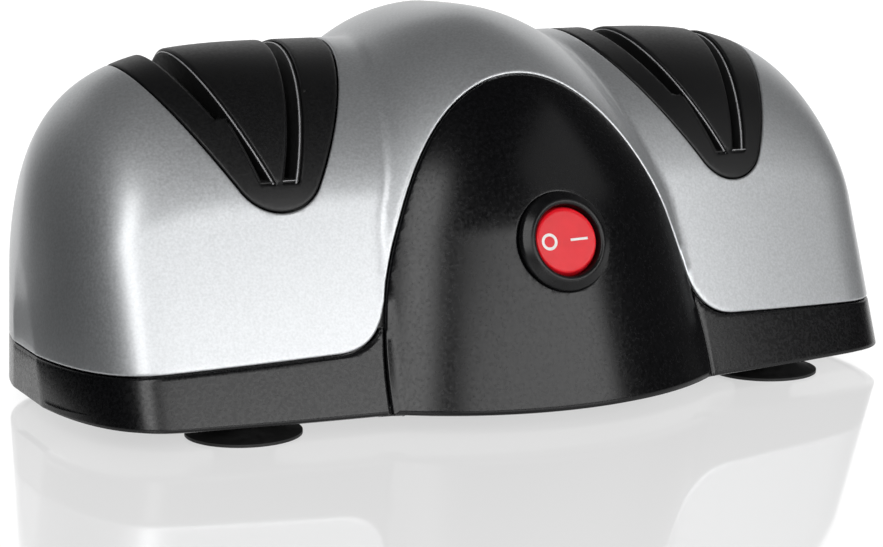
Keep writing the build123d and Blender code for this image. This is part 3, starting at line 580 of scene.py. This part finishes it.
for side, name in ((-1, "left"), (1, "right")):
    walls = []
    for hand in (-1, 1):
        walls.append(slotWall(side, hand, lambda z: slotEdges(hand, z)[0], 1, liner["wall"]))
        walls.append(slotWall(side, hand, lambda z: slotEdges(hand, z)[1], -1, liner["wall"]))
        walls += [slotFloor(side, hand, end, liner["wall"]) for end in (-1, 1)]
    addPiece(f"{name}SlotWalls", *joined(*walls), "black_abs", wall=liner["thickness"], finish="slot_wall")
    # Strips along the slots' edges, painted pale as a highlight
    edges = [
        slotWall(side, -1, lambda z: slotEdges(-1, z)[0], 1, liner["edge"]),
        slotWall(side, 1, lambda z: slotEdges(1, z)[1], -1, liner["edge"]),
        slotFloor(side, 1, -1, liner["edge"]),
    ]
    addPiece(f"{name}SlotEdgeHighlights", *joined(*edges), "black_abs", wall=liner["edgeThickness"], finish="painted_edge_highlight")

# Lips behind the seams, so that no light passes between the shells
lips = {"reach": 2.4, "sink": 2.45, "wall": 1.2, "edge": 0.2, "rounding": (1, 0), "slotClearance": 0.6,
        "switchClearance": 2.0}


def insideLips(p):
    inserts = np.minimum(abs(outsideInsert(p, -1)), abs(outsideInsert(p, 1)))
    seams = np.minimum(np.minimum(abs(outsidePanel(p)), inserts), abs(aboveSkirt(p)))
    clear = np.minimum(outsideSlots(p, -1), outsideSlots(p, 1)) - lips["slotClearance"]
    return np.minimum(np.minimum(lips["reach"] - seams, clear), outsideSwitch(p) - lips["switchClearance"])


addPiece("seamLips", *cutShell(insideLips, lips["edge"], lips["sink"], lips["rounding"]), "black_abs",
         wall=lips["wall"])

# Base skirt with its bottom plate
skirt = {"wall": 2.2, "edge": 0.8, "plateRows": 24, "plateInset": 0.012}


def insideSkirt(p):
    inside = np.minimum(-aboveSkirt(p) - outlines["seam"], outsidePanel(p) - outlines["panelSeam"] / 2)
    return np.minimum(inside, p[:, 2] - casing["base"] + skirt["edge"])


def bottomPlate(spec):
    # Ruled from the front foot of the casing to its rear foot, a little inside the leaning walls
    share = np.linspace(spec["plateInset"], 1 - spec["plateInset"], spec["plateRows"])[None, :, None]
    foot = casingPoints[casing["endRings"] + 1:-casing["endRings"] - 1]
    points = foot[:, :1] * (1 - share) + foot[:, -1:] * share
    return points, gridFaces(*points.shape[:2])[:, ::-1]


addPiece("baseSkirt", *joined(cutShell(insideSkirt, skirt["edge"]), bottomPlate(skirt)), "black_abs",
         ["base_tray"], skirt["wall"])


def bezelGrid(spec):
    # The bezel's profile carried round the switch's axis
    radius, out = np.array(spec["bezel"]).T
    turn = np.linspace(0, 2 * np.pi, spec["segments"], endpoint=False)[:, None]
    points = fromSwitch(radius * np.cos(turn), radius * np.sin(turn), out + 0 * turn)
    return points, gridFaces(*points.shape[:2], closed=True)[:, ::-1]


addPiece("switchBezel", *bezelGrid(switch), "switch_black", ["switch_housing"], switch["bezelWall"])


def faceRise(across):
    # The rocker's face dips softly in the middle: (sqrt(u^2 + v^2) - v) tan tilt
    valley = switch["valley"]
    return (np.sqrt(across ** 2 + valley ** 2) - valley) * np.tan(np.radians(switch["tilt"]))


def rockerGrid(spec):
    # A ball about the pivot, cut by the dipped face and by a flat tail. The face is found along each ray by
    # stepping r = (face + rise) / cos a, and the edges are rounded as the values meet.
    polar = np.linspace(0, np.pi, spec["polarSteps"])[None, :]
    turn = np.linspace(0, 2 * np.pi, spec["segments"], endpoint=False)[:, None]
    across, up, out = np.sin(polar) * np.cos(turn), np.sin(polar) * np.sin(turn), np.cos(polar) + 0 * turn
    face, level = np.full(out.shape, spec["face"]), spec["level"]
    for step in range(spec["faceRounds"]):
        face = np.minimum((spec["face"] + faceRise(face * across)) / np.maximum(out, level), farOff)
    tail = np.where(out < -level, spec["tail"] / np.maximum(-out, level), farOff)
    reach = softMin(softMin(face, spec["ball"] + 0 * face, spec["round"]), tail, spec["round"])
    return fromRocker(reach * across, reach * up, reach * out), gridFaces(*reach.shape, closed=True)[:, ::-1]


addPiece("rockerButton", *rockerGrid(switch), "red_rocker", ["switch_rocker"], body="rocker")


def onFace(across, up):
    # A little above the rocker's faces
    return fromRocker(across, up, switch["face"] + faceRise(across) + switch["ink"] / 2)


def offMark(spec):
    # A ring on the left face
    turn = np.linspace(0, 2 * np.pi, spec["ringSegments"], endpoint=False)[:, None]
    radius = spec["ringRadius"] + spec["ringStroke"] * np.linspace(-0.5, 0.5, spec["strokeSteps"])
    across = spec["ringPlace"] + radius * np.cos(turn)
    return onFace(across, radius * np.sin(turn)), gridFaces(*across.shape, closed=True)[:, ::-1]


def onMark(spec):
    # A bar on the right face
    width, height = spec["barSize"]
    across, up = np.meshgrid(spec["barPlace"] + width * np.linspace(-0.5, 0.5, spec["barSteps"]),
                             height * np.linspace(-0.5, 0.5, spec["strokeSteps"]), indexing="ij")
    return onFace(across, up), gridFaces(*across.shape)


addPiece("offRing", *offMark(switch), "red_rocker", wall=switch["ink"], body="rocker", finish="white_ink")
addPiece("onBar", *onMark(switch), "red_rocker", wall=switch["ink"], body="rocker", finish="white_ink")

# Camera where the photograph was taken from
cameraSpec = {"place": (-259.6, -505.7, 129.9), "yaw": 26.95, "pitch": 10.43, "focalPixels": 2254.0,
              "frameWidth": 883.0, "sensor": 36.0, "clip": (0.01, 20.0)}


def addCamera(spec):
    data = bpy.data.cameras.new("camera")
    camera = bpy.data.objects.new("camera", data)
    bpy.context.scene.collection.objects.link(camera)
    yaw, pitch = np.radians(spec["yaw"]), np.radians(spec["pitch"])
    forward = Vector((np.sin(yaw) * np.cos(pitch), np.cos(yaw) * np.cos(pitch), -np.sin(pitch)))
    camera.location = Vector(spec["place"]) * mm
    camera.rotation_euler = forward.to_track_quat("-Z", "Y").to_euler()
    data.sensor_width = spec["sensor"]
    data.lens = spec["focalPixels"] * spec["sensor"] / spec["frameWidth"]
    data.clip_start, data.clip_end = spec["clip"]
    bpy.context.scene.camera = camera


addCamera(cameraSpec)

# Studio: a wide softbox at the front, a weak one above it at the right, a bright strip at the front left, and a
# black flag and card by the left end. Each lamp stands at a turn from the front, an angle above the floor and a
# distance in metres, and looks at the object.
softboxes = {
    "frontSoftbox": {"turn": 11.0, "lift": 15.0, "distance": 1.3, "size": (1.6, 0.54), "power": 11.4},
    "upperSoftbox": {"turn": 48.0, "lift": 40.0, "distance": 1.3, "size": (0.9, 0.6), "power": 1.0},
    "leftStrip": {"turn": -42.0, "lift": 31.0, "distance": 1.3, "size": (0.36, 1.1), "power": 7.2},
}
aim = Vector((0, 0, 0.05))


def addSoftbox(name, spec):
    data = bpy.data.lights.new(name, "AREA")
    data.shape = "RECTANGLE"
    data.size, data.size_y = spec["size"]
    data.energy = spec["power"]
    light = bpy.data.objects.new(name, data)
    turn, lift = np.radians(spec["turn"]), np.radians(spec["lift"])
    away = Vector((np.sin(turn) * np.cos(lift), -np.cos(turn) * np.cos(lift), np.sin(lift)))
    light.location = aim + away * spec["distance"]
    light.rotation_euler = (-away).to_track_quat("-Z", "Y").to_euler()
    bpy.context.scene.collection.objects.link(light)


for name, spec in softboxes.items():
    addSoftbox(name, spec)

floorSpec = {"half": 3.0, "colour": "#b8b8b8", "roughness": 0.06, "mirror": 0.2, "glow": 0.56}
# Front faces of the flag and the card are towards the object
flags = {
    "blackFlag": [(-0.42, -0.2, 0), (-0.21, 0.155, 0), (-0.21, 0.155, 0.5), (-0.42, -0.2, 0.5)],
    "blackCard": [(-0.6, -0.2, 0.001), (-0.18, -0.2, 0.001), (-0.125, 0.13, 0.001), (-0.6, 0.3, 0.001)],
}
flagCloth = {"colour": "#262a2c", "roughness": 0.9}


def addStage(name, corners):
    # One flat sheet with a material of its own
    mesh = bpy.data.meshes.new(name)
    mesh.from_pydata(corners, [], [(0, 1, 2, 3)])
    sheet = bpy.data.objects.new(name, mesh)
    bpy.context.scene.collection.objects.link(sheet)
    material = bpy.data.materials.new(name + " sheet")
    material.use_nodes = True
    mesh.materials.append(material)
    return sheet, material.node_tree


def addFloor(spec):
    # White gloss acrylic: keeps the shadow and a mirror image, with a glow that lifts its open parts to white
    h = spec["half"]
    sheet, tree = addStage("floor", [(-h, -h, 0), (h, -h, 0), (h, h, 0), (-h, h, 0)])
    shader = tree.nodes["Principled BSDF"]
    shader.inputs["Base Color"].default_value = linearColour(spec["colour"])
    shader.inputs["Roughness"].default_value = spec["roughness"]
    shader.inputs["Metallic"].default_value = spec["mirror"]
    shader.inputs["Emission Color"].default_value = (1, 1, 1, 1)
    path = addNode(tree, "LightPath")
    direct = addNode(tree, "Math", {0: path.outputs["Is Camera Ray"], 1: path.outputs["Is Glossy Ray"]},
                     operation="MAXIMUM")
    seen = addNode(tree, "Math", {0: direct.outputs[0], 1: path.outputs["Is Transmission Ray"]},
                   operation="MAXIMUM")
    glow = addNode(tree, "Math", {0: seen.outputs[0], 1: spec["glow"]}, operation="MULTIPLY")
    tree.links.new(glow.outputs[0], shader.inputs["Emission Strength"])


def addFlag(name, corners, spec):
    # Seen only in reflections and only by its front, so that it stands in no other view and throws no shadow
    sheet, tree = addStage(name, corners)
    sheet.visible_camera = sheet.visible_shadow = False
    shader = tree.nodes["Principled BSDF"]
    shader.inputs["Base Color"].default_value = linearColour(spec["colour"])
    shader.inputs["Roughness"].default_value = spec["roughness"]
    back = addNode(tree, "NewGeometry").outputs["Backfacing"]
    clear = addNode(tree, "BsdfTransparent").outputs[0]
    sides = addNode(tree, "MixShader", {0: back, 1: shader.outputs[0], 2: clear})
    tree.links.new(sides.outputs[0], tree.nodes["Material Output"].inputs["Surface"])


addFloor(floorSpec)
for name, corners in flags.items():
    addFlag(name, corners, flagCloth)

worldSpec = {"room": 0.05, "sweep": 1.0, "behind": (0.25, 0.55), "left": (-0.55, -0.28), "top": (0.55, 0.7)}


def addWorld(spec):
    # A dim room with a white sweep behind the object, up to its top edge; the camera sees white everywhere.
    # The sweep's edges are set by the direction's parts: behind by Y, left end by X, top by Z.
    world = bpy.data.worlds.new("studio")
    world.use_nodes = True
    tree = world.node_tree
    place = addNode(tree, "TexCoord").outputs["Generated"]
    part = addNode(tree, "SeparateXYZ", {0: place})
    share = 1.0
    for axis, edge in (("Y", "behind"), ("X", "left"), ("Z", "top")):
        start, end = spec[edge] if edge != "top" else spec[edge][::-1]
        fade = addNode(tree, "MapRange", {"Value": part.outputs[axis], "From Min": start, "From Max": end})
        share = addNode(tree, "Math", {0: share, 1: fade.outputs[0]}, operation="MULTIPLY").outputs[0]
    path = addNode(tree, "LightPath")
    white = addNode(tree, "Math", {0: share, 1: path.outputs["Is Camera Ray"]}, operation="MAXIMUM")
    strength = addNode(tree, "MapRange", {"Value": white.outputs[0], "To Min": spec["room"],
                                          "To Max": spec["sweep"]})
    tree.links.new(strength.outputs[0], tree.nodes["Background"].inputs["Strength"])
    tree.nodes["Background"].inputs["Color"].default_value = (1, 1, 1, 1)
    bpy.context.scene.world = world


addWorld(worldSpec)
bpy.context.scene.view_settings.view_transform = "Standard"

print("stage set")
